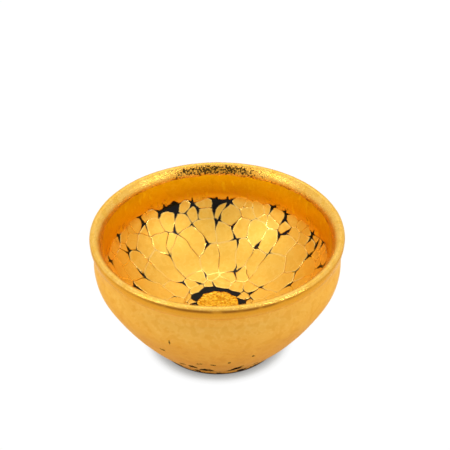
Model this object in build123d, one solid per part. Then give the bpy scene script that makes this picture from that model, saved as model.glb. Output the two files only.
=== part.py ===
from build123d import *

# Gilded stoneware tea bowl with a narrowed mouth, modelled as the layers that it is made of.
#
# A thick clay bowl on a low foot ring carries one coat of near-black glaze, inside and out. Over the
# glaze lies the gold, in six separate fields: the outside, the lip, a plain band under the lip, the
# cells of the inner wall, and a collar and a disc in the well. A ring of black glaze shows between
# the collar and the disc. Underneath, the foot is bare clay.
#
# Everything is turned about +Z. The origin is the centre of the foot, on the plane that it stands on.
# Millimetres.

import os

# Driving dimensions of the finished bowl
RIM_DIAMETER = 90.0
HEIGHT = 48.0
FOOT_DIAMETER = 47.0

# Coats
GOLD_THICKNESS = 0.25
GLAZE_THICKNESS = 0.55
GLAZE_LINE = 0.8  # both coats stop at this height on the foot

# Lip: a rolled crest, a sloping inner face, and a shallow groove under it outside
LIP_ROLL = 1.4
LIP_INNER_EASE = (0.8, 0.25)  # inwards and down from the crest to the start of the sloping face
LIP_EDGE_DROP = 4.4  # all drops are from the crest
LIP_EDGE_INSET = 0.5  # all insets are from the rim's widest radius
GROOVE_DROP = 7.3
GROOVE_INSET = 1.4

# Outer wall, from the shoulder under the groove down to the foot
SHOULDER_DROP = 11.8
SHOULDER_INSET = 0.9
UPPER_WALL_DROP = 20.3
UPPER_WALL_INSET = 2.65
LOWER_WALL_DROP = 31.4
LOWER_WALL_INSET = 9.05
BELLY_SLOPE = 46.4  # degrees above the horizontal, where the belly leaves the foot

# Foot ring
FOOT_WALL_HEIGHT = 2.3
FOOT_FLARE = 1.0  # the ring is wider at its top by this much
FOOT_CHAMFER = 0.4
FOOT_RING_WIDTH = 4.6
RECESS_DEPTH = 3.4
RECESS_DRAFT = 1.2

# Inside, as (radius, height above the foot's plane)
LIP_FACE_FOOT = (40.6, 44.2)  # where the lip's sloping face meets the plain band
THROAT = (40.15, 36.8)
WALL_TOP = (39.3, 33.0)
WELL_EDGE = (12.3, 14.7)
BAND_FOOT_HEIGHT = 34.4  # where the plain band meets the cells
WELL_STEP = 0.35
WELL_DISH = 0.6  # how far the well's centre lies below its edge
COLLAR_INNER_RADIUS = 9.7
DISC_RADIUS = 7.5

RIM_RADIUS = RIM_DIAMETER / 2
FOOT_RADIUS = FOOT_DIAMETER / 2
FOOT_RING_INNER_RADIUS = FOOT_RADIUS - FOOT_RING_WIDTH
LIP_EDGE_HEIGHT = HEIGHT - LIP_EDGE_DROP
CREST = (RIM_RADIUS - LIP_ROLL, HEIGHT)
WELL_CENTRE = (0, WELL_EDGE[1] - WELL_STEP - WELL_DISH)
WALL_MIDDLE = [(0, 9), (26, 10), (37.5, 25), (42.2, 36)]  # runs up inside the clay, clear of the coats
SECTION_PLANE = Plane.XZ
FAR = 2 * RIM_DIAMETER  # beyond everything
CLEAR = 1.0  # more than both coats together


def from_rim(inset, drop):
    """A point measured inwards from the rim's widest radius and down from the crest."""
    return (RIM_RADIUS - inset, HEIGHT - drop)


def draw_outside():
    """From the foot's bottom edge up to the crest of the lip."""
    foot_top = (FOOT_RADIUS + FOOT_FLARE, FOOT_WALL_HEIGHT)
    lower_wall = from_rim(LOWER_WALL_INSET, LOWER_WALL_DROP)
    upper_wall = from_rim(UPPER_WALL_INSET, UPPER_WALL_DROP)
    shoulder = from_rim(SHOULDER_INSET, SHOULDER_DROP)
    groove = from_rim(GROOVE_INSET, GROOVE_DROP)
    lip_edge = from_rim(LIP_EDGE_INSET, LIP_EDGE_DROP)
    widest = from_rim(0, LIP_ROLL)
    Line((FOOT_RADIUS, FOOT_CHAMFER), foot_top)
    belly = TangentArc(foot_top, lower_wall, tangent=Vector(1, 0).rotate(Axis.Z, BELLY_SLOPE))
    wall = TangentArc(lower_wall, upper_wall, tangent=belly % 1)
    turn = TangentArc(upper_wall, shoulder, tangent=wall % 1)
    waist = TangentArc(shoulder, groove, tangent=turn % 1)
    TangentArc(groove, lip_edge, tangent=waist % 1)
    TangentArc(widest, lip_edge, tangent=(0, -1))
    TangentArc(widest, CREST, tangent=(0, 1))


def draw_inside():
    """From the crest of the lip down to the centre of the well."""
    ease_in, ease_down = LIP_INNER_EASE
    face_top = (CREST[0] - ease_in, CREST[1] - ease_down)
    step_foot = (WELL_EDGE[0] - WELL_STEP, WELL_EDGE[1] - WELL_STEP)
    roll = TangentArc(CREST, face_top, tangent=(-1, 0))
    face = TangentArc(face_top, LIP_FACE_FOOT, tangent=roll % 1)
    band = TangentArc(LIP_FACE_FOOT, THROAT, tangent=face % 1)
    turn = TangentArc(THROAT, WALL_TOP, tangent=band % 1)
    TangentArc(WALL_TOP, WELL_EDGE, tangent=turn % 1)
    Line(WELL_EDGE, step_foot)
    TangentArc(WELL_CENTRE, step_foot, tangent=(1, 0))


def draw_underneath():
    """From the centre of the well down the axis, round the foot's recess, to its bottom edge."""
    Polyline(
        WELL_CENTRE,
        (0, RECESS_DEPTH),
        (FOOT_RING_INNER_RADIUS - RECESS_DRAFT, RECESS_DEPTH),
        (FOOT_RING_INNER_RADIUS, 0),
        (FOOT_RADIUS - FOOT_CHAMFER, 0),
        (FOOT_RADIUS, FOOT_CHAMFER),
    )


def finished_section():
    """The half section of the whole bowl, coats included."""
    with BuildSketch(SECTION_PLANE) as section:
        with BuildLine():
            draw_outside()
            draw_inside()
            draw_underneath()
        make_face()
    return section.sketch


def rectangle(low_radius, low_height, high_radius, high_height):
    """A filled rectangle in the half section's plane, from one corner to the other."""
    centre = Pos((low_radius + high_radius) / 2, (low_height + high_height) / 2)
    return SECTION_PLANE * centre * Rectangle(high_radius - low_radius, high_height - low_height)


def inner_side():
    """All of the half plane on the inner side of the wall's middle."""
    top = (WALL_MIDDLE[-1][0], FAR)
    with BuildSketch(SECTION_PLANE) as side:
        with BuildLine():
            Polyline(*WALL_MIDDLE, top, (0, FAR), close=True)
        make_face()
    return side.sketch


def layers(finished):
    """Split the finished half section into clay, glaze and gold, from the core outwards."""
    whole = finished + mirror(finished, about=Plane.YZ)
    right_half = rectangle(0, -FAR, FAR, FAR)
    under_gold = offset(whole, -GOLD_THICKNESS) & right_half
    under_glaze = offset(whole, -GOLD_THICKNESS - GLAZE_THICKNESS) & right_half
    bare_foot = rectangle(0, -CLEAR, FOOT_RADIUS + FOOT_FLARE, GLAZE_LINE)
    bare_recess = rectangle(0, -CLEAR, FOOT_RING_INNER_RADIUS + CLEAR, RECESS_DEPTH + CLEAR)
    coats = finished - under_glaze - bare_foot - bare_recess
    return finished - coats, coats & under_gold, coats - under_gold


def gold_fields():
    """The zone of the half section that each field of gold covers, by the node's name."""
    inside = inner_side()
    below_lip_inside = rectangle(0, 0, FAR, LIP_FACE_FOOT[1]) & inside
    return {
        "outer_gold_coat": rectangle(0, 0, FAR, LIP_EDGE_HEIGHT) - inside,
        "lip_gold_band": rectangle(0, LIP_EDGE_HEIGHT, FAR, FAR) - below_lip_inside,
        "inner_gold_band": rectangle(0, BAND_FOOT_HEIGHT, FAR, FAR) & below_lip_inside,
        "inner_gold_cells": rectangle(WELL_EDGE[0], 0, FAR, BAND_FOOT_HEIGHT) & inside,
        "well_gold_collar": rectangle(COLLAR_INNER_RADIUS, 0, WELL_EDGE[0], FAR) & inside,
        "well_gold_disc": rectangle(0, 0, DISC_RADIUS, FAR) & inside,
    }


def write_turned(name, section):
    """Turn a section once about the bowl's axis and write it as one sub-part."""
    solid = revolve(section, Axis.Z, 360)
    export_step(solid, f"parts/{name}.step")


def main():
    os.makedirs("parts", exist_ok=True)
    clay, glaze, gold = layers(finished_section())
    write_turned("clay_body", clay)
    write_turned("base_glaze", glaze)
    for name, zone in gold_fields().items():
        write_turned(name, gold & zone)


main()
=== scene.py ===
import math

import bpy
import numpy as np
from mathutils import Matrix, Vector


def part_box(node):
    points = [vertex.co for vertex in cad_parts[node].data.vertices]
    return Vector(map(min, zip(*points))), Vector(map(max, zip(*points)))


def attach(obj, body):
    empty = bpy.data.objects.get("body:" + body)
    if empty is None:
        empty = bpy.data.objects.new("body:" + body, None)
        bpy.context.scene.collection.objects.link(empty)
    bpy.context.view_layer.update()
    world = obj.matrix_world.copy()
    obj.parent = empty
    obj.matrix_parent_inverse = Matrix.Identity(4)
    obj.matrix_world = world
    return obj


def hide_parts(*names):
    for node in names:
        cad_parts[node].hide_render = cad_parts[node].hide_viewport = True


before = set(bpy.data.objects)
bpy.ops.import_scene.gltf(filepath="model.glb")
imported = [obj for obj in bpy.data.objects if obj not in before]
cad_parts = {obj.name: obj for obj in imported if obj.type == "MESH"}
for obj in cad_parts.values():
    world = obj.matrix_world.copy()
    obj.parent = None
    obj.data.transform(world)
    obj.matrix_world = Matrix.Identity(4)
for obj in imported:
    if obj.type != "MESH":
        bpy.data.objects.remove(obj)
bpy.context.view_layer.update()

# The looks of a gilded tea bowl: eight layers on one turned profile, and a plain studio for them.
#
# The bowl's surfaces are worked out in millimetres, as (angle round the axis, distance along the
# profile, height above the finished surface), and become metres when a mesh is made. The bowl's front
# is at -Y, which is angle -90 degrees.
MM = 0.001
RIM_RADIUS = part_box("lip_gold_band")[1][0] / MM
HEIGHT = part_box("lip_gold_band")[1][2] / MM
GOLD_THICKNESS = 0.25
GLAZE_THICKNESS = 0.55


# ---------------------------------------------------------------- profile

def from_rim(inset, drop):
    """A point measured inwards from the rim's widest radius and down from the crest."""
    return (RIM_RADIUS - inset, HEIGHT - drop)


# The finished profile, as (radius, height)
FOOT_EDGE = (23.5, 0.4)
GLAZE_LINE = (23.7, 0.8)  # both coats stop here
FOOT_TOP = (24.5, 2.3)
LOWER_WALL = from_rim(9.05, 31.4)
UPPER_WALL = from_rim(2.65, 20.3)
SHOULDER = from_rim(0.9, 11.8)
GROOVE = from_rim(1.4, 7.3)
LIP_EDGE = from_rim(0.5, 4.4)
WIDEST = from_rim(0, 1.4)
CREST = from_rim(1.4, 0)
LIP_FACE_TOP = from_rim(2.2, 0.25)
LIP_FACE_FOOT = (40.6, 44.2)
THROAT = (40.15, 36.8)
BAND_FOOT = (39.85, 34.4)  # where the plain band meets the cells
WALL_TOP = (39.3, 33.0)
WELL_EDGE = (12.3, 14.7)
WELL_STEP_FOOT = (11.95, 14.35)
WELL_CENTRE = (0.0, 13.75)
DISC_RADIUS = 7.5
BELLY_HEADING = 46.4  # degrees above the horizontal, where the belly leaves the foot
ARC_STEP = 0.25


def arc(start, end, heading):
    """Points on the arc that leaves start at heading, each with its own heading in degrees."""
    across = complex(end[0] - start[0], end[1] - start[1])
    chord_heading = math.degrees(math.atan2(across.imag, across.real))
    half_turn = (chord_heading - heading + 180) % 360 - 180
    straight = abs(half_turn) < 1e-6
    steps = max(2, int(abs(across) / ARC_STEP))
    points = []
    for t in np.linspace(0, 1, steps + 1):
        part = t
        if not straight:
            part = math.sin(math.radians(t * half_turn)) / math.sin(math.radians(half_turn))
        turned = across * part * np.exp(1j * math.radians((t - 1) * half_turn))
        points.append((start[0] + turned.real, start[1] + turned.imag, heading + 2 * t * half_turn))
    return points


def chain(heading, *points):
    """Arcs through the points, each one leaving at the heading of the last."""
    path = []
    for start, end in zip(points, points[1:]):
        piece = arc(start, end, heading)
        heading = piece[-1][2]
        path += piece
    return path


def reverse(path):
    return [(r, z, heading + 180) for r, z, heading in path[::-1]]


class Skin:
    """The finished surface from the foot's edge, up over the lip and down to the well's centre."""

    def __init__(self):
        foot_heading = math.degrees(math.atan2(FOOT_TOP[1] - FOOT_EDGE[1], FOOT_TOP[0] - FOOT_EDGE[0]))
        path = arc(FOOT_EDGE, FOOT_TOP, foot_heading)
        path += chain(BELLY_HEADING, FOOT_TOP, LOWER_WALL, UPPER_WALL, SHOULDER, GROOVE, LIP_EDGE)
        path += reverse(arc(WIDEST, LIP_EDGE, -90))
        path += arc(WIDEST, CREST, 90)
        path += chain(180, CREST, LIP_FACE_TOP, LIP_FACE_FOOT, THROAT, WALL_TOP, WELL_EDGE)
        path += arc(WELL_EDGE, WELL_STEP_FOOT, 225)
        path += reverse(arc(WELL_CENTRE, WELL_STEP_FOOT, 0))
        path = np.array(path)
        self.r, self.z = path[:, 0], path[:, 1]
        steps = np.hypot(np.diff(self.r), np.diff(self.z))
        self.s = np.concatenate([[0], np.cumsum(np.maximum(steps, 1e-5))])
        normal = np.radians(path[:, 2] - 90)
        self.nr, self.nz = np.cos(normal), np.sin(normal)

    def find(self, point):
        """The distance along the skin at the place nearest to a point of the section."""
        return self.s[np.argmin(np.hypot(self.r - point[0], self.z - point[1]))]

    def radius(self, s):
        return np.interp(s, self.s, self.r)

    def place(self, theta, s, h):
        """Points in space, in millimetres, at a height h above the skin."""
        r = np.interp(s, self.s, self.r) + h * np.interp(s, self.s, self.nr)
        z = np.interp(s, self.s, self.z) + h * np.interp(s, self.s, self.nz)
        return np.stack([r * np.cos(theta), r * np.sin(theta), z], axis=-1)


def around(columns):
    """Evenly spaced angles, once round the axis."""
    return np.linspace(0, 2 * math.pi, columns, endpoint=False)


SKIN = Skin()
AT_GLAZE_LINE = SKIN.find(GLAZE_LINE)
AT_FOOT_TOP = SKIN.find(FOOT_TOP)
AT_LIP_EDGE = SKIN.find(LIP_EDGE)
AT_LIP_FACE_FOOT = SKIN.find(LIP_FACE_FOOT)
AT_BAND_FOOT = SKIN.find(BAND_FOOT)
AT_WELL_EDGE = SKIN.find(WELL_EDGE)
AT_WELL_CENTRE = SKIN.s[-1]
AT_DISC_EDGE = AT_WELL_CENTRE - DISC_RADIUS


# ---------------------------------------------------------------- noise

def noise(points, size, seed=0):
    """Smooth noise between -1 and 1, with features about size across.

    Each corner of a lattice has a value mixed from its whole-number coordinates, and the values are
    blended in between.
    """
    p = np.asarray(points) / size + 37.7 * seed
    cell = np.floor(p).astype(np.int64)
    t = p - cell
    t = t * t * (3 - 2 * t)
    total = np.zeros(p.shape[:-1])
    for corner in np.ndindex(2, 2, 2):
        key = cell + np.array(corner)
        mixed = key[..., 0] * 73856093 ^ key[..., 1] * 19349663 ^ key[..., 2] * 83492791
        mixed = (mixed ^ (mixed >> 13)) * 1274126177
        mixed = (mixed ^ (mixed >> 16)) & 0xFFFF
        weight = np.prod(np.where(np.array(corner) == 1, t, 1 - t), axis=-1)
        total += (mixed / 32767.5 - 1) * weight
    return total


def rough_noise(points, size, octaves, seed=0):
    """Noise with finer and weaker layers added."""
    return sum(noise(points, size / 2**k, seed + 7 * k) / 2**k for k in range(octaves))


def ring_noise(columns, radius, size, octaves, seed):
    """Rough noise round a circle, one number for each column."""
    angles = around(columns)
    ring = np.stack([np.cos(angles), np.sin(angles), 0 * angles], axis=1) * radius
    return rough_noise(ring, size, octaves, seed)


def near(distance, reach):
    """1 where a distance is 0, and hardly anything beyond twice the reach."""
    return np.exp(-(distance / reach) ** 2)


# ---------------------------------------------------------------- meshes

SHARP = math.radians(50)  # an edge that turns by more than this isn't smoothed


def add_piece(name, points_mm, faces, look, node, second_look=None):
    """A mesh object that rides on the bowl and stands for one CAD node, from points in millimetres.

    second_look says how much each point shows its material's other finish, from 0 to 1: on the flakes'
    edges a smoother gold painted paler as a painted highlight, on the outer gold the black glaze where the
    gold is missing.
    """
    mesh = bpy.data.meshes.new(name)
    mesh.from_pydata((np.asarray(points_mm) * MM).tolist(), [], faces)
    mesh.polygons.foreach_set("use_smooth", [True] * len(mesh.polygons))
    mesh.set_sharp_from_angle(angle=SHARP)
    mesh.materials.append(look.owner)
    if second_look is not None:
        mesh.attributes.new("second_look", "FLOAT", "POINT").data.foreach_set("value", second_look)
    piece = bpy.data.objects.new(name, mesh)
    bpy.context.scene.collection.objects.link(piece)
    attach(piece, "root")
    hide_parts(node)


def bridge(ring, further):
    """Quads between two closed rings of points. Swapping the rings turns the quads over."""
    return np.stack([ring, np.roll(ring, -1), np.roll(further, -1), further], axis=1)


def fan(ring, middle):
    """Triangles between a closed ring of points and its middle."""
    return np.stack([ring, np.roll(ring, -1), np.full(len(ring), middle)], axis=1)


def shell_faces(top_rows, under_rows, columns, has_middle):
    """Faces of a closed shell: a top and an underside of rings, joined along their first rings.

    The points are the top's rings, then the underside's. With has_middle, the top's and the
    underside's middle points come last. Without it, the last rings are joined too.
    """
    rings = np.arange((top_rows + under_rows) * columns).reshape(-1, columns)
    top, under = rings[:top_rows], rings[top_rows:]
    quads = [bridge(a, b) for a, b in zip(top, top[1:])]
    quads += [bridge(b, a) for a, b in zip(under, under[1:])]
    quads.append(bridge(under[0], top[0]))
    if not has_middle:
        quads.append(bridge(top[-1], under[-1]))
        return np.vstack(quads).tolist()
    fans = [fan(top[-1], rings.size), fan(under[-1][::-1], rings.size + 1)]
    return np.vstack(quads).tolist() + np.vstack(fans).tolist()


def coat(name, look, node, s_low, s_high, columns, spacing, relief, depth, under_rows=9, wear=None):
    """A closed coat round the whole bowl between two distances along the skin.

    s_low and s_high are numbers, or one number for each column. spacing says where the rows lie, from
    0 to 1. relief(points, theta, s, to_high) gives the top surface's height, and depth is how far down
    the underside lies. wear(points, theta, s) is where the top is missing, from 0 to 1. A coat that
    ends at the well's centre closes on one point there.
    """
    theta = around(columns)[None, :]
    low = np.broadcast_to(s_low, (columns,))[None, :]
    high = np.broadcast_to(s_high, (columns,))[None, :]
    centred = bool(np.all(high >= AT_WELL_CENTRE))

    def grid(rows):
        """Angles and distances for rows of points."""
        rows = rows[:-1] if centred else rows
        s = low + (high - low) * rows[:, None]
        return np.broadcast_to(theta, s.shape), s

    angle, s = grid(spacing)
    flat = SKIN.place(angle, s, 0 * s)
    top = SKIN.place(angle, s, relief(flat, angle, s, high - s))
    under = SKIN.place(*grid(np.linspace(0, 1, under_rows)), -depth)
    points = [top.reshape(-1, 3), under.reshape(-1, 3)]
    if centred:
        points.append([[0, 0, top[-1, :, 2].mean()], [0, 0, under[-1, :, 2].mean()]])
    points = np.vstack(points)
    second_look = None
    if wear:
        missing = wear(flat, angle, s).ravel()
        second_look = np.pad(missing, (0, len(points) - len(missing)))
    faces = shell_faces(len(top), len(under), columns, centred)
    add_piece(name, points, faces, look, node, second_look)


# ---------------------------------------------------------------- cells of gold

# Rows of cells down the inner wall, from the band to the black ring, as (height in mm, count). The
# first row only shapes the band's lower edge, and the last is the ring where black glaze shows.
BAND_ROW = (2.0, 60)
WALL_ROWS = [(3.4, 58), (4.8, 43), (7.0, 30), (13.2, 21), (6.4, 17)]
COLLAR_ROW = (2.7, 13)
RING_ROW = (2.3, 24)
COLLAR = len(WALL_ROWS) + 1
RING = COLLAR + 1
ROW_PITCH = 0.95  # a row's height in the flat layout, against its cells' width
LOOSE = 0.34  # how far a seed strays, against its cell's width
LOOSE_AT_ENDS = 0.1  # the same in the first row and the collar
SIZE_SPREAD = 0.25  # how unlike in size neighbouring cells are

# Cells where the gold is missing, as (row, angle in degrees, how much they shrink)
BARE_CELLS = [
    (1, 112, 0.5), (1, 106, 0.55), (1, 93, 0.35), (1, 86, 0.75), (1, 122, 0.8),
    (1, 49, 0.8), (1, 205, 0.5), (1, 262, 0.4), (1, 300, 0.5), (1, 332, 0.6),
]
BRIDGES = (162, 20, 255)  # angles in degrees where the gold crosses the black ring

# How the gold pulls apart, in mm
CORNER_GAP = 0.78  # at the corners of cells
SIDE_GAP = 0.06  # along their sides, where the seam is plain
LEAST_GAP = 0.003
GAP_REACH = 1.35  # how far a corner's gap runs on along the sides
GAP_FALL = 1.8  # how abruptly it ends there
BESIDE_BARE = 0.85  # corners this near to a bare cell, against its width, are pulled fully apart
WARP = 0.7  # how far the cells' sides wander
WARP_SIZE = 3.6
ROUNDING = 0.16  # how far an outline is blurred
SIDE_POINTS = 24
EDGE_STEP = 0.42  # between the points of an outline
EDGE_POINTS = (24, 110)  # fewest and most
NEIGHBOURS = 21  # enough to close in any cell
WIDEST_REACH = 1.2  # from a seed to its cell's sides, before they are cut; more than any cell has


def openness(points, theta):
    """How far the gold has pulled apart at the corners of cells, from 0 to 1: most at the back."""
    patches = 2.6 * noise(points, 1.7, 11) + 0.5 * noise(points, 9.0, 12)
    return np.clip(patches - 0.42 + 0.3 * np.sin(theta), 0, 1)


def seam_depth(points):
    """How plainly the seam between two cells shows, from 0 to 1."""
    return np.clip(0.22 + 1.6 * noise(points, 5.0, 17), 0, 1)


def smoothed(outline, reach, perimeter):
    """A closed outline of complex points, blurred over a distance."""
    waves = np.fft.fftfreq(len(outline), 1 / len(outline)) * 2 * math.pi / perimeter
    return np.fft.ifft(np.fft.fft(outline) * np.exp(-0.5 * (waves * reach) ** 2))


def turn_between(theta, other):
    """The angle from one direction to another, the short way round."""
    return (other - theta + math.pi) % (2 * math.pi) - math.pi


class Cells:
    """Cells round scattered seeds, laid out flat as (theta, v), where each is about as high as wide."""

    def __init__(self, seed):
        rng = np.random.default_rng(seed)
        rows = [BAND_ROW, *WALL_ROWS, COLLAR_ROW, RING_ROW]
        stretch = (AT_WELL_EDGE - AT_BAND_FOOT) / sum(height for height, _ in WALL_ROWS)
        s_edges = [AT_BAND_FOOT - BAND_ROW[0]]
        v_edges = [0.0]
        seeds = []
        for row, (height, count) in enumerate(rows):
            width = 2 * math.pi / count
            s_edges.append(s_edges[-1] + height * (stretch if 0 < row < COLLAR else 1))
            v_edges.append(v_edges[-1] + ROW_PITCH * width)
            loose = LOOSE_AT_ENDS if row in (0, COLLAR) else LOOSE
            start = rng.uniform(0, width)
            for k in range(count):
                theta = start + width * (k + rng.uniform(-loose, loose))
                v = (v_edges[row] + v_edges[row + 1]) / 2 + width * rng.uniform(-loose, loose)
                seeds.append((theta % (2 * math.pi), v, row))
        self.s_edges, self.v_edges, self.seeds = np.array(s_edges), np.array(v_edges), np.array(seeds)
        self.rows = self.seeds[:, 2].astype(int)
        self.widths = 2 * math.pi / np.array([count for _, count in rows])[self.rows]
        self.weight = rng.uniform(-SIZE_SPREAD, SIZE_SPREAD, len(seeds)) * self.widths**2
        self.bare = set()
        for row, angle, share in BARE_CELLS:
            bare = self.nearest(row, angle)
            self.bare.add(bare)
            self.weight[bare] = -share * self.widths[bare] ** 2

    def in_row(self, row):
        return np.flatnonzero(self.rows == row)

    def nearest(self, row, angle):
        """The cell of a row whose seed lies nearest to an angle in degrees."""
        away = (np.degrees(self.seeds[:, 0]) - angle + 180) % 360 - 180
        return int(np.argmin(np.where(self.rows == row, np.abs(away), 999)))

    def beside_bare(self, corners):
        """1 for each corner that stands beside a place with no gold, and otherwise 0."""
        bare = [*self.bare, *self.in_row(RING)]
        across = turn_between(self.seeds[bare, 0], corners[:, :1])
        apart = np.hypot(across, corners[:, 1:] - self.seeds[bare, 1]) / self.widths[bare]
        return (apart.min(axis=1) < BESIDE_BARE) * 1.0

    def corners(self, index):
        """The corners of one cell as (theta, v), cut from a square by its borders with its neighbours."""
        theta, v, _ = self.seeds[index]
        across = turn_between(theta, self.seeds[:, 0])
        offsets = np.stack([across, self.seeds[:, 1] - v], axis=1)
        neighbours = np.argsort(np.hypot(offsets[:, 0], offsets[:, 1]))[1:NEIGHBOURS + 1]
        polygon = [(WIDEST_REACH * x, WIDEST_REACH * y) for x, y in ((-1, -1), (1, -1), (1, 1), (-1, 1))]
        for other in neighbours:
            x, y = offsets[other]
            limit = (x * x + y * y + self.weight[index] - self.weight[other]) / 2
            sides = [a * x + b * y - limit for a, b in polygon]
            kept = []
            for k, point in enumerate(polygon):
                after = (k + 1) % len(polygon)
                if sides[k] <= 0:
                    kept.append(point)
                if (sides[k] <= 0) != (sides[after] <= 0):
                    t = sides[k] / (sides[k] - sides[after])
                    kept.append(tuple(p + t * (q - p) for p, q in zip(point, polygon[after])))
            polygon = kept
        low, high = self.v_edges[0], self.v_edges[-1]
        return [(theta + x, min(max(v + y, low), high)) for x, y in polygon]

    def sides(self, index):
        """Points along a cell's sides as (theta, s, how far the gold has pulled apart, from 0 to 1)."""
        corners = np.array(self.corners(index))
        ends = np.roll(corners, -1, axis=0)
        t = np.linspace(0, 1, SIDE_POINTS, endpoint=False)[None, :]
        fine = corners[:, None] * (1 - t[..., None]) + ends[:, None] * t[..., None]
        theta, s = fine[..., 0], np.interp(fine[..., 1], self.v_edges, self.s_edges)
        where = SKIN.place(theta, s, 0 * s)
        length = np.linalg.norm(np.roll(where[:, 0], -1, axis=0) - where[:, 0], axis=1)[:, None]
        at_corner = np.maximum(openness(where[:, :1], theta[:, :1]), self.beside_bare(corners)[:, None])
        rise = np.abs(np.roll(s[:, :1], -1, axis=0) - s[:, :1]) / np.maximum(length, 0.01)
        reach = GAP_REACH * (0.5 + rise)  # the gaps run down the wall more than across it
        near_start = at_corner * np.exp(-(t * length / reach) ** GAP_FALL)
        near_end = np.roll(at_corner, -1, axis=0) * np.exp(-((1 - t) * length / reach) ** GAP_FALL)
        return theta.ravel(), s.ravel(), np.maximum(near_start, near_end).ravel()

    def outline(self, index, pulled_apart=1.0):
        """One flake's edge as (theta, s, how plainly its seam shows), drawn in from its neighbours."""
        theta, s, pull = self.sides(index)
        pull = pull * pulled_apart
        where = SKIN.place(theta, s, 0 * s)
        theta = theta + WARP * noise(where, WARP_SIZE, 13) / SKIN.radius(s)
        s = s + WARP * noise(where, WARP_SIZE, 14)
        theta_mid = theta.mean()
        flat = (theta - theta_mid) * SKIN.radius(s) + 1j * s
        closed = np.append(flat, flat[0])
        along = np.concatenate([[0], np.cumsum(np.abs(np.diff(closed)))])
        perimeter = along[-1]
        even = np.linspace(0, perimeter, int(np.clip(perimeter / EDGE_STEP, *EDGE_POINTS)), endpoint=False)
        edge = np.interp(even, along, closed.real) + 1j * np.interp(even, along, closed.imag)
        pull = np.interp(even, along, np.append(pull, pull[0]))
        seam = seam_depth(SKIN.place(theta_mid + edge.real / SKIN.radius(edge.imag), edge.imag, 0 * even))
        ahead = np.roll(edge, -1) - np.roll(edge, 1)
        ahead /= np.abs(ahead)
        steep = 0.55 + 0.45 * np.abs(ahead.imag)
        edge = edge + 1j * ahead * (LEAST_GAP + SIDE_GAP * seam**2 + CORNER_GAP * pull * steep)
        edge = smoothed(edge, ROUNDING, perimeter)
        return theta_mid + edge.real / SKIN.radius(edge.imag), edge.imag, seam


# How far in from the edge each ring of a flake lies, in mm, and how far below its middle
FLAKE_EDGE = [(0.0, 0.09), (0.1, 0.035), (0.32, 0.0)]
FLAKE_ROOT = 0.3  # the underside's depth, just inside the glaze
FLAKE_LIFT = 0.012  # how unevenly the flakes lie
INNER_RING_STEP = 1.6  # between the rings inside the edge, of which there are one to three


def flake(theta, s, seam, lift):
    """Points, faces and the marks of edge points, for one closed flake of gold with a rounded edge."""
    mid_theta, mid_s = theta.mean(), s.mean()
    across = (theta - mid_theta) * SKIN.radius(s)
    size = np.hypot(across, s - mid_s).mean()
    edge = [1 - inset / size for inset, _ in FLAKE_EDGE]
    inner = np.linspace(edge[-1], 0, 2 + int(np.clip(size / INNER_RING_STEP, 1, 3)))[1:-1]
    top_rows, under_rows, count = len(edge) + len(inner), 1 + len(inner), len(theta)
    share = np.array([*edge, *inner, 1.0, *inner])[:, None]
    drop = np.array([-drop for _, drop in FLAKE_EDGE] + [0.0] * len(inner))[:, None]
    drop = np.vstack([drop * (0.1 + 0.9 * seam)[None, :], np.full((under_rows, count), -FLAKE_ROOT)])
    ring_s = mid_s + (s - mid_s)[None, :] * share
    ring_theta = mid_theta + across[None, :] * share / SKIN.radius(ring_s)
    flat = SKIN.place(ring_theta, ring_s, 0 * ring_s)
    is_top = np.arange(len(share))[:, None] < top_rows
    height = drop + is_top * (lift + 0.02 * noise(flat, 3.4, 21) + 0.005 * noise(flat, 0.9, 22))
    points = SKIN.place(ring_theta, ring_s, height).reshape(-1, 3)
    middles = [SKIN.place(mid_theta, mid_s, lift), SKIN.place(mid_theta, mid_s, -FLAKE_ROOT)]
    marks = (np.arange(len(points) + 2) < count * (len(FLAKE_EDGE) - 1)) * 1.0
    return np.vstack([points, middles]), shell_faces(top_rows, under_rows, count, True), marks


def flakes(name, cells, chosen, pulled_apart, node):
    """One piece from many flakes, each a closed solid."""
    rng = np.random.default_rng(len(chosen))
    points, faces, marks, first = [], [], [], 0
    for index in chosen:
        outline = cells.outline(index, pulled_apart)
        flake_points, flake_faces, flake_marks = flake(*outline, rng.uniform(-FLAKE_LIFT, FLAKE_LIFT))
        faces += [[first + corner for corner in face] for face in flake_faces]
        points.append(flake_points)
        marks.append(flake_marks)
        first += len(flake_points)
    add_piece(name, np.vstack(points), faces, CELL_GOLD, node, np.concatenate(marks))


def build_cells(cells):
    wall = [i for row in range(1, COLLAR) for i in cells.in_row(row) if i not in cells.bare]
    collar = [*cells.in_row(COLLAR), *(cells.nearest(RING, angle) for angle in BRIDGES)]
    flakes("wall_flakes", cells, wall, 1.0, "inner_gold_cells")
    flakes("well_collar_flakes", cells, collar, 0.4, "well_gold_collar")


BAND_EDGE_RISE = 0.8  # the most that the band's lower edge may lie above its foot


def band_edge(cells, columns):
    """The band's lower edge, as one distance along the skin for each column."""
    edge = np.full(columns, AT_BAND_FOOT - BAND_EDGE_RISE)
    for index in cells.in_row(0):
        theta, s, _ = cells.outline(index)
        theta, s = np.append(theta, theta[0]), np.append(s, s[0])
        t = np.linspace(0, len(s) - 1, 40 * len(s))
        column = np.interp(t, np.arange(len(s)), theta) / (2 * math.pi) * columns
        column = np.round(column).astype(int) % columns
        np.maximum.at(edge, column, np.interp(t, np.arange(len(s)), s))
    return edge


# ---------------------------------------------------------------- reliefs

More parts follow.
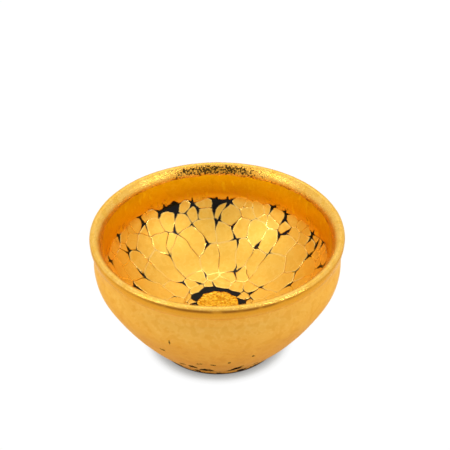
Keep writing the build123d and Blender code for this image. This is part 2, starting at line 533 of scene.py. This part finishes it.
# Nicks in the outer gold, as (angle round the axis in degrees, distance above the foot's top along
# the wall, half length, half width, tilt in degrees), in mm
NICKS = [
    (-98, 5.8, 2.6, 2.7, 15), (-102, 4.6, 1.2, 1.8, 0), (-78, 7.2, 4.8, 1.7, 66),
    (-107, 9.4, 1.6, 2.3, 15), (-93, 16.1, 1.1, 0.75, -35), (-84, 19.2, 0.6, 0.8, 0),
    (-114, 10.6, 1.9, 0.9, 25), (-101, 16.6, 1.5, 0.45, 20), (-112, 34.0, 0.4, 1.2, 0),
    (-119, 24.4, 1.3, 0.5, -10), (-72, 23.2, 0.45, 0.8, 0), (-64, 8.8, 1.9, 0.7, 30),
]


def nick(theta, s, edges, angle, above, length, width, tilt):
    """How far the gold is missing in one nick: more than 0 inside it."""
    across = turn_between(math.radians(angle), theta)
    from_middle = across * SKIN.radius(s) + 1j * (s - AT_FOOT_TOP - above)
    turned = from_middle * np.exp(-1j * math.radians(tilt))
    return 1 + edges - np.hypot(turned.real / length, turned.imag / width)


def outer_wear(points, theta, s):
    """Where the outer gold is missing, from 0 to 1: breaks that gather towards the foot, and nicks."""
    up = s - AT_FOOT_TOP
    creases = 1 - np.abs(noise(points, 1.8, 33)) / 0.2
    patches = 2.2 * noise(points, 2.6, 34) - 1.9 + 1.9 * near(up, 6.0)
    gaps_at_foot = near(up, 0.7) * np.clip(3.0 * noise(points, 3.0, 35) - 1.2, 0, 1)
    amount = np.clip(creases, 0, 1) * np.clip(patches, 0, 1) + gaps_at_foot
    edges = 0.3 * rough_noise(points, 0.9, 2, 36)
    for shape in NICKS:
        amount = np.maximum(amount, nick(theta, s, edges, *shape))
    return np.clip(amount * 4, 0, 1)


def outer_relief(points, theta, s, to_high):
    """Soft hollows, with a shallow step down where the gold is missing."""
    relief = 0.05 * noise(points, 7.0, 31) + 0.02 * rough_noise(points, 1.6, 2, 32)
    relief -= 0.1 * near(s - AT_GLAZE_LINE, 0.35)
    return relief - 0.05 * outer_wear(points, theta, s)


def lip_relief(points, theta, s, to_high):
    """Grain like coarse sand."""
    return 0.028 * rough_noise(points, 0.6, 2, 41) + 0.03 * noise(points, 3.5, 42)


def band_relief(points, theta, s, to_high):
    """Fine streaks down the band, and an edge that rolls over at the bottom."""
    down = np.stack([SKIN.radius(s) * np.cos(theta), SKIN.radius(s) * np.sin(theta), s / 9], axis=-1)
    relief = 0.03 * rough_noise(down, 1.1, 2, 51) + 0.02 * noise(points, 2.4, 52)
    return relief - 0.14 * near(to_high, 0.22)


def glaze_relief(points, theta, s, to_high):
    """The glaze lies under the gold, nearly smooth."""
    return -GOLD_THICKNESS + 0.012 * noise(points, 1.4, 61)


def disc_relief(points, theta, s, to_high):
    """Crinkles, like leaf pressed on wet glaze, and an edge that rolls over."""
    ridges = 1 - np.abs(noise(points, 1.5, 71)) * 2.2
    finer = 1 - np.abs(noise(points, 0.7, 72)) * 2.2
    relief = 0.16 * np.clip(ridges, 0, 1) ** 2 + 0.07 * np.clip(finer, 0, 1) ** 2 - 0.08
    return relief - 0.12 * near(s - s.min(axis=0), 0.25)


# ---------------------------------------------------------------- the layers

LIP_COLUMNS = 960
OUTER_COLUMNS = 720
GLAZE_COLUMNS = 320
DISC_COLUMNS = 240
CLAY_COLUMNS = 240
CROWDING = 1.6  # how much closer the rows lie at one end, where the detail is


def rows(count):
    """Evenly spaced places for the rows of a coat, from 0 to 1."""
    return np.linspace(0, 1, count)


def build_coats(cells):
    lip_foot = AT_LIP_FACE_FOOT + 0.3 * ring_noise(LIP_COLUMNS, RIM_RADIUS, 2.2, 2, 81)
    band_foot = band_edge(cells, LIP_COLUMNS)
    disc_edge = AT_DISC_EDGE + 0.5 * ring_noise(DISC_COLUMNS, DISC_RADIUS, 2.4, 3, 82)
    coat("lip_gold", GRAINY_GOLD, "lip_gold_band", AT_LIP_EDGE, lip_foot, LIP_COLUMNS,
         rows(38), lip_relief, 0.45)
    coat("inner_band_gold", BAND_GOLD, "inner_gold_band", lip_foot, band_foot, LIP_COLUMNS,
         1 - (1 - rows(30)) ** CROWDING, band_relief, 0.3)
    coat("outer_gold", SATIN_GOLD, "outer_gold_coat", AT_GLAZE_LINE, AT_LIP_EDGE, OUTER_COLUMNS,
         rows(118) ** CROWDING, outer_relief, 0.45, wear=outer_wear)
    coat("well_disc_gold", DISC_GOLD, "well_gold_disc", disc_edge, AT_WELL_CENTRE, DISC_COLUMNS,
         rows(70), disc_relief, 0.3)
    coat("black_glaze", BLACK_GLAZE, "base_glaze", AT_GLAZE_LINE - 0.05, AT_WELL_CENTRE, GLAZE_COLUMNS,
         rows(210), glaze_relief, GOLD_THICKNESS + GLAZE_THICKNESS, under_rows=90)


# The foot's underside, as (radius, height)
AXIS = 0.01  # the smallest radius of a ring
RECESS_DEPTH = 3.4
RECESS_CORNER = (17.2, RECESS_DEPTH)
RECESS_EASE = (17.9, 2.6)
RECESS_MOUTH = (18.7, 0.35)
RING_INSIDE = (19.2, 0.0)
RING_OUTSIDE = (22.8, 0.0)
FOOT_HEADINGS = (0, -20, -70, -70, 0, 0)  # in degrees, at which the profile leaves each corner
TOOLED = (17.0, 3.0)  # tool marks cover the recess within this radius and above this height
CORE_ROWS = 160
COAT_EDGE = 0.8  # the clay sinks from the bare foot to the coats' depth over this distance


def build_clay():
    """The clay, of which only the foot's underside shows: a turned ring and a recess with tool marks."""
    corners = [(AXIS, RECESS_DEPTH), RECESS_CORNER, RECESS_EASE, RECESS_MOUTH, RING_INSIDE, RING_OUTSIDE,
               FOOT_EDGE]
    foot = []
    for start, end, heading in zip(corners, corners[1:], FOOT_HEADINGS):
        foot += arc(start, end, heading)
    s = np.linspace(AT_GLAZE_LINE - 0.1, AT_WELL_CENTRE, CORE_ROWS)
    depth = (GOLD_THICKNESS + GLAZE_THICKNESS) * np.clip((s - s[0]) / COAT_EDGE, 0, 1)
    core = SKIN.place(0 * s, s, -depth)
    outline = np.array([(r, z) for r, z, _ in foot] + [(max(x, AXIS), z) for x, _, z in core])
    angle = around(CLAY_COLUMNS)[None, :]
    r = np.broadcast_to(outline[:, 0:1], (len(outline), CLAY_COLUMNS))
    z = np.broadcast_to(outline[:, 1:2], r.shape)
    flat = np.stack([r * np.cos(angle), r * np.sin(angle), z], axis=-1)
    shown = (np.arange(len(outline)) < len(foot))[:, None]
    recess = shown & (r < TOOLED[0]) & (z > TOOLED[1])
    marks = 0.09 * np.sin(r * 5.2 + angle + 0.6 * noise(flat, 5, 91)) * recess
    lift = shown * (marks + 0.05 * np.abs(noise(flat, 0.8, 92)))
    lifted = flat + np.stack([0 * r, 0 * r, lift], axis=-1)
    points = np.vstack([lifted.reshape(-1, 3), [[0, 0, RECESS_DEPTH], [0, 0, outline[-1, 1]]]])
    rings = np.arange(r.size).reshape(r.shape)
    quads = np.vstack([bridge(a, b) for a, b in zip(rings, rings[1:])])
    fans = np.vstack([fan(rings[0][::-1], r.size), fan(rings[-1], r.size + 1)])
    add_piece("clay_core", points, quads.tolist() + fans.tolist(), BARE_CLAY, "clay_body")


# ---------------------------------------------------------------- materials

YELLOW_SPOT = (1.0, 0.74, 0.02)
# A dulled gold for the painted reflection on the lip
REFLECTION_DULLED_GOLD = (0.84, 0.37, 0.025)
CRACK_BROWN = (0.3, 0.1, 0.003)
# Browns for the lip's painted reflection: the line under the crest, which also colours the grains at the
# lip's foot, and the specks
REFLECTION_LINE_AND_GRAIN_BROWN = (0.28, 0.09, 0.006)
SPECK_REFLECTION_BROWN = (0.07, 0.035, 0.003)


def grey(value):
    return (value, value, value)


class Look:
    """The nodes of a material, or of the world. Inputs take a node's output or a plain value."""

    def __init__(self, owner, shader="Principled BSDF"):
        owner.use_nodes = True
        self.owner = owner
        self.nodes, self.links = owner.node_tree.nodes, owner.node_tree.links
        self.inputs = self.nodes[shader].inputs
        self.coords = self.nodes.new("ShaderNodeTexCoord").outputs

    def feed(self, socket, value):
        if isinstance(value, bpy.types.NodeSocket):
            self.links.new(value, socket)
        elif socket.type == "RGBA":
            socket.default_value = (*value, 1.0)
        else:
            socket.default_value = value

    def set(self, name, value):
        """Feeds one of the shader's inputs."""
        self.feed(self.inputs[name], value)

    def now(self, name):
        """The output that feeds one of the shader's inputs."""
        return self.inputs[name].links[0].from_socket

    def add(self, kind, inputs, **settings):
        """Adds a node and returns its outputs; inputs are fed by name or number."""
        node = self.nodes.new("ShaderNode" + kind)
        for name, value in settings.items():
            setattr(node, name, value)
        for name, value in inputs.items():
            self.feed(node.inputs[name], value)
        return node.outputs

    def where(self):
        """The X, Y and Z of a point, in the object's own coordinates."""
        return self.add("SeparateXYZ", {"Vector": self.coords["Object"]})

    def noise(self, scale, detail=4.0, stretch=None):
        """Noise over the object's own coordinates; scale is features per metre."""
        point = self.coords["Object"]
        if stretch:
            point = self.add("Mapping", {"Vector": point, "Scale": stretch})["Vector"]
        return self.add("TexNoise", {"Vector": point, "Scale": scale, "Detail": detail})["Fac"]

    def second_look(self):
        """How much a point shows the material's other finish, from 0 to 1."""
        return self.add("Attribute", {}, attribute_name="second_look")["Fac"]

    def ramp(self, value, *stops):
        """A colour ramp; stops are (position, colour)."""
        node = self.nodes.new("ShaderNodeValToRGB")
        elements = node.color_ramp.elements
        while len(elements) < len(stops):
            elements.new(0.5)
        for element, (position, colour) in zip(elements, stops):
            element.position = position
            element.color = (*colour, 1.0)
        self.feed(node.inputs["Fac"], value)
        return node.outputs["Color"]

    def fade(self, value, start, end, low=0.0, high=1.0):
        """Maps start..end to low..high, and holds those beyond it."""
        limits = {"From Min": start, "From Max": end, "To Min": low, "To Max": high}
        return self.add("MapRange", {"Value": value, **limits})["Result"]

    def mix(self, factor, a, b):
        """A colour between two others. The node's sockets go by number, for they share their names."""
        return self.add("Mix", {0: factor, 6: a, 7: b}, data_type="RGBA")[2]

    def mix_values(self, factor, a, b):
        return self.add("Mix", {0: factor, 2: a, 3: b})[0]

    def combine(self, operation, *values):
        """Values multiplied, added or compared, from left to right."""
        result = values[0]
        for value in values[1:]:
            result = self.add("Math", {0: result, 1: value}, operation=operation)[0]
        return result

    def bump(self, height, strength, distance):
        return self.add("Bump", {"Height": height, "Strength": strength, "Distance": distance})["Normal"]


def gold(name, pale, deep, rough, grain_scale, grain_strength, gloss=0.0, stretch=None):
    """Gold whose colour drifts between two tones, with pale veins, grain and uneven polish."""
    look = Look(bpy.data.materials.new(name))
    grain = look.noise(grain_scale, 3, stretch)
    tone = look.ramp(look.noise(160, 5, stretch), (0.35, deep), (0.62, pale))
    darker = [c * 0.95 for c in deep]
    lighter = [min(c * 1.1 + 0.06, 1.0) for c in pale]
    veins = look.ramp(look.noise(420, 6), (0.36, darker), (0.46, deep), (0.5, lighter), (0.54, pale))
    look.set("Base Color", look.mix(look.fade(grain, 0, 1, 0.2, 0.6), tone, veins))
    look.set("Metallic", 1.0)
    look.set("Roughness", look.fade(grain, 0, 1, rough - 0.08, rough + 0.1))
    look.set("Normal", look.bump(grain, grain_strength, 0.00012))
    look.set("Specular Tint", (1.0, 0.88, 0.55))
    look.set("Coat Weight", gloss)
    look.set("Coat Roughness", 0.3)
    return look


def polish_edges_with_painted_glint(look, smooth, pale):
    """Makes the flakes' rounded edges smoother than their faces, so that they glint, and paints them paler
    as a painted highlight that whitens the glints.
    """
    edge = look.second_look()
    look.set("Roughness", look.mix_values(edge, look.now("Roughness"), smooth))
    look.set("Base Color", look.mix(edge, look.now("Base Color"), pale))


def show_glaze(look):
    """Shows the black glaze, without its shine, where the gold is missing."""
    missing = look.fade(look.second_look(), 0.35, 0.65)
    look.set("Base Color", look.mix(missing, look.now("Base Color"), (0.008, 0.006, 0.004)))
    look.set("Metallic", look.fade(missing, 0, 1, 1.0, 0.0))
    look.set("Specular IOR Level", 0.0)


def fade_band(look, low_colour):
    """Blends the band into the cells' paler gold at its foot, in streaks, then adds spots and cracks."""
    height = look.where()["Z"]
    streaks = look.fade(look.noise(900, 3, (1, 1, 0.15)), 0, 1, -0.75, 0.45)
    paleness = look.combine("ADD", look.fade(height, 34.0 * MM, 38.4 * MM, 1.0, 0.0), streaks)
    colour = look.mix(look.fade(paleness, 0.1, 0.8), look.now("Base Color"), low_colour)
    spots = look.fade(look.noise(520, 2, (1, 1, 0.4)), 0.63, 0.69, 0.0, 0.9)
    colour = look.mix(spots, colour, YELLOW_SPOT)
    cracks = look.ramp(look.noise(330, 3), (0.48, grey(0)), (0.5, grey(1)), (0.52, grey(0)))
    cracked_zones = look.fade(look.noise(90, 1), 0.5, 0.62, 0.0, 0.9)
    low_down = look.fade(height, 36.2 * MM, 38.2 * MM, 1.0, 0.0)
    cracks = look.combine("MULTIPLY", cracks, cracked_zones, low_down)
    look.set("Base Color", look.mix(cracks, colour, CRACK_BROWN))


def paint_lip_reflections_and_grains(look):
    """Painted reflection on the lip, where it mirrors the unlit room behind the camera: dark specks inside
    at the back, the outer face dulled below the crest, and a brown line under the crest outside, strongest
    at the front; and brown grains inside at the lip's foot.
    """
    where = look.where()
    level = look.add("CombineXYZ", {"X": where["X"], "Y": where["Y"]})["Vector"]
    from_axis = look.add("VectorMath", {0: level}, operation="LENGTH")["Value"]
    grain, patches = look.noise(1500, 2), look.noise(260, 2)
    radius = RIM_RADIUS * MM

    def drop(start, end, low=0.0, high=1.0):
        """Fades between two distances below the crest, in mm."""
        return look.fade(where["Z"], (HEIGHT - start) * MM, (HEIGHT - end) * MM, low, high)

    def all_of(*values):
        return look.combine("MULTIPLY", *values)

    # Painted reflection: dark specks on the back of the lip's inner face, where it mirrors the unlit room
    back = look.fade(where["Y"], 0.74 * radius, 0.92 * radius)
    speck_reflection_zone = all_of(back, drop(4.2, 2.8), drop(0.9, 0.1, 1.0, 0.1))
    amount = look.combine("ADD", grain, look.fade(speck_reflection_zone, 0, 1, -0.24, 0.08),
                          look.fade(patches, 0, 1, -0.08, 0.08))
    colour = look.mix(look.fade(speck_reflection_zone, 0, 1, 0.0, 0.8), look.now("Base Color"), REFLECTION_DULLED_GOLD)
    colour = look.mix(look.fade(amount, 0.5, 0.56), colour, SPECK_REFLECTION_BROWN)

    # Painted reflection: a brown line under the crest outside, strongest at the front
    outside = all_of(look.fade(from_axis, radius - 0.7 * MM, radius - 0.1 * MM), drop(0.85, 0.5, 1.0, 0.0))
    front = look.fade(where["Y"], -0.97 * radius, -0.8 * radius, 1.0, 0.3)
    line = all_of(outside, drop(1.9, 1.2), front, look.fade(patches, 0.34, 0.5, 0.35, 0.9))
    inside = look.fade(from_axis, radius - 3.5 * MM, radius - 3.0 * MM, 1.0, 0.0)
    at_foot = look.fade(where["Z"], 44.4 * MM, 45.1 * MM, 1.0, 0.0)
    grains = look.fade(look.combine("ADD", grain, patches), 1.0, 1.1, 0.0, 0.8)
    reflection_line_and_grains = look.combine("MAXIMUM", line, all_of(inside, at_foot, grains))
    # Painted reflection: the lip's outer face below the crest is dulled
    colour = look.mix(outside, colour, REFLECTION_DULLED_GOLD)
    look.set("Base Color", look.mix(reflection_line_and_grains, colour, REFLECTION_LINE_AND_GRAIN_BROWN))


def make_black_glaze():
    look = Look(bpy.data.materials.new("black_glaze"))
    fine = look.noise(2600, 3)
    tone = look.ramp(look.noise(700, 4), (0.3, (0.001, 0.001, 0.002)), (0.75, (0.009, 0.006, 0.003)))
    look.set("Base Color", tone)
    look.set("Roughness", look.fade(fine, 0, 1, 0.04, 0.2))
    look.set("Specular IOR Level", 0.15)
    look.set("Normal", look.bump(fine, 0.3, 0.0001))
    return look


def make_clay():
    look = Look(bpy.data.materials.new("bare_clay"))
    grit = look.noise(2200, 4)
    tone = look.ramp(look.noise(300, 6), (0.3, (0.03, 0.017, 0.012)), (0.7, (0.075, 0.042, 0.028)))
    specks = look.ramp(grit, (0.4, (0.02, 0.012, 0.01)), (0.62, (0.11, 0.065, 0.04)))
    look.set("Base Color", look.mix(look.fade(grit, 0, 1, 0.1, 0.7), tone, specks))
    look.set("Roughness", 0.85)
    look.set("Normal", look.bump(grit, 0.6, 0.0002))
    return look


# The materials, with their pale and deep tones, roughness, grain's scale and strength, and gloss
SATIN_GOLD = gold("satin_gold", (0.93, 0.50, 0.085), (0.88, 0.425, 0.055), 0.36, 1800, 0.12)
show_glaze(SATIN_GOLD)
GRAINY_GOLD = gold("grainy_gold", (0.94, 0.54, 0.11), (0.90, 0.48, 0.06), 0.24, 2600, 0.8, 0.1)
paint_lip_reflections_and_grains(GRAINY_GOLD)
BAND_GOLD = gold("band_gold", (0.93, 0.61, 0.003), (0.89, 0.56, 0.001), 0.32, 1500, 0.3, 0.0, (1, 1, 0.12))
fade_band(BAND_GOLD, (0.93, 0.53, 0.06))
CELL_GOLD = gold("cell_gold", (0.96, 0.56, 0.075), (0.93, 0.52, 0.055), 0.44, 2200, 0.15, 0.45)
# The pale colour is a painted highlight on the flakes' edges
polish_edges_with_painted_glint(CELL_GOLD, 0.1, (1.0, 0.62, 0.16))
DISC_GOLD = gold("disc_gold", (0.95, 0.50, 0.03), (0.78, 0.34, 0.01), 0.26, 2600, 0.4, 0.1)
BLACK_GLAZE = make_black_glaze()
BARE_CLAY = make_clay()


# ---------------------------------------------------------------- studio

# The view: the camera looks along +Y and down at the rim's centre, nine rim radii away
VIEW_ELEVATION = math.radians(35.5)
VIEW_DISTANCE = 9 * RIM_RADIUS * MM
VIEW_SHIFT = (0.0177, 0.0122)
VIEW_ROLL = math.radians(-0.6)
AIM = (0.0, 0.0, (HEIGHT - 0.8) * MM)
LENS_MM = 91.8
F_STOP = 20
FOCUS_BEYOND_AIM = 12 * MM


def add_camera():
    data = bpy.data.cameras.new("camera")
    data.lens = LENS_MM
    data.sensor_width = 36.0
    data.shift_x, data.shift_y = VIEW_SHIFT
    data.clip_start = 0.01
    data.dof.use_dof = True
    data.dof.focus_distance = VIEW_DISTANCE + FOCUS_BEYOND_AIM
    data.dof.aperture_fstop = F_STOP
    camera = bpy.data.objects.new("camera", data)
    back, up = math.cos(VIEW_ELEVATION), math.sin(VIEW_ELEVATION)
    camera.location = (AIM[0], AIM[1] - VIEW_DISTANCE * back, AIM[2] + VIEW_DISTANCE * up)
    tilt = Matrix.Rotation(math.pi / 2 - VIEW_ELEVATION, 3, "X") @ Matrix.Rotation(VIEW_ROLL, 3, "Z")
    camera.rotation_euler = tilt.to_euler()
    bpy.context.scene.collection.objects.link(camera)
    bpy.context.scene.camera = camera


def make_floor_look():
    """Pale grey to the bowl's reflections, with painted shade making it darker towards the front; to the
    camera it glows white, with a painted contact shadow only where the bowl is close.
    """
    look = Look(bpy.data.materials.new("floor"))
    # Painted shade: the floor is darker towards the front, seen only in the bowl's reflections
    backness = look.fade(look.where()["Y"], -0.14, 0.0)
    look.set("Base Color", look.ramp(backness, (0.0, grey(0.68)), (1.0, grey(0.95))))
    look.set("Roughness", 0.9)
    # Painted contact shadow: the glow the camera sees is darkened where the bowl is near
    openness_above = look.add("AmbientOcclusion", {"Distance": 6 * MM}, samples=16)["AO"]
    shade = look.ramp(openness_above, (0.0, (0.05, 0.045, 0.04)), (0.4, (0.58, 0.57, 0.555)),
                      (0.55, (0.88, 0.875, 0.87)), (0.78, grey(1.0)))
    shown = look.add("Emission", {"Color": shade, "Strength": 1.02})["Emission"]
    seen = look.add("LightPath", {})["Is Camera Ray"]
    lit = look.nodes["Principled BSDF"].outputs["BSDF"]
    either = look.add("MixShader", {"Fac": seen, 1: lit, 2: shown})["Shader"]
    look.feed(look.nodes["Material Output"].inputs["Surface"], either)
    return look


def add_floor():
    far = 4.0
    mesh = bpy.data.meshes.new("floor")
    mesh.from_pydata([(-far, -far, 0), (far, -far, 0), (far, far, 0), (-far, far, 0)], [], [(0, 1, 2, 3)])
    mesh.materials.append(make_floor_look().owner)
    floor = bpy.data.objects.new("floor", mesh)
    bpy.context.scene.collection.objects.link(floor)


def add_softbox(azimuth, elevation, distance, width, height, power):
    """A soft light aimed at the bowl; azimuth is counted from the camera's side, to the right."""
    data = bpy.data.lights.new("softbox", "AREA")
    data.shape = "RECTANGLE"
    data.size, data.size_y = width, height
    data.energy = power
    lamp = bpy.data.objects.new("softbox", data)
    a, e = math.radians(azimuth), math.radians(elevation)
    lamp.location = (distance * math.sin(a) * math.cos(e), -distance * math.cos(a) * math.cos(e),
                     distance * math.sin(e))
    lamp.rotation_euler = (math.pi / 2 - e, 0, a)
    bpy.context.scene.collection.objects.link(lamp)


def add_world():
    """Pale all round, with a darker patch behind the camera where the room isn't lit."""
    world = bpy.data.worlds.new("studio")
    bpy.context.scene.world = world
    look = Look(world, "Background")
    e = math.radians(30)
    patch_middle = (0, -math.cos(e), math.sin(e))
    towards = look.add("VectorMath", {0: look.coords["Generated"], 1: patch_middle},
                       operation="DOT_PRODUCT")["Value"]
    shade = look.ramp(towards, (0.0, grey(0.95)), (0.95, grey(0.9)), (0.985, grey(0.5)))
    seen = look.add("LightPath", {})["Is Camera Ray"]
    look.set("Color", look.mix(seen, shade, grey(1.02)))


def add_studio():
    add_camera()
    add_floor()
    add_world()
    for azimuth in (-65, 65):
        add_softbox(azimuth, 45, 0.9, 0.02, 0.6, 0.9)
    add_softbox(180, 62, 1.0, 0.6, 0.4, 0.8)
    bpy.context.scene.view_settings.view_transform = "Standard"


CELLS = Cells(seed=7)
build_cells(CELLS)
build_coats(CELLS)
build_clay()
add_studio()
